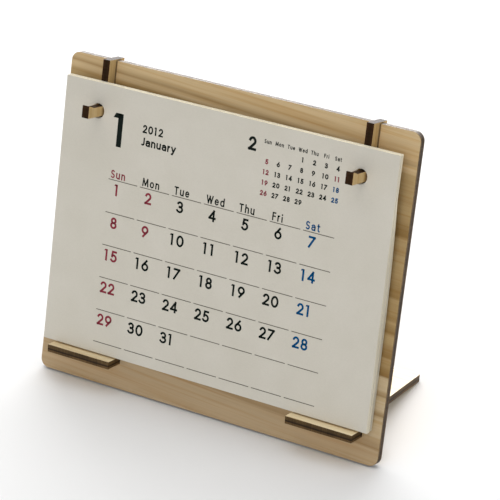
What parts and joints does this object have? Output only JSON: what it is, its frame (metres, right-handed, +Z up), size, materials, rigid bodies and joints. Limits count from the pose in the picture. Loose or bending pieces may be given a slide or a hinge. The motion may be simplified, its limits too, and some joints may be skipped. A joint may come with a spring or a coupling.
{
  "type": "desk calendar",
  "caption": "Plywood desk calendar: a leaning back board on a slotted base plate, with lipped hook pegs that hold a hanging pad of punched month sheets",
  "frame": {"origin": "middle of the footprint, on the table", "axes": "+Z up, +X to the right along the board as the reader sees it, +Y away from the reader; the printed side faces -Y"},
  "size_m": [0.152, 0.0704, 0.1253],
  "materials": {
    "plywood": "bare veneer, laser-burnt brown edges",
    "card": "matt printed card"
  },
  "bodies": {
    "root": {"back_board": "plywood", "base_plate": "plywood", "hook_left": "plywood", "hook_right": "plywood", "sheet_pad": "card"}
  },
  "joints": []
}
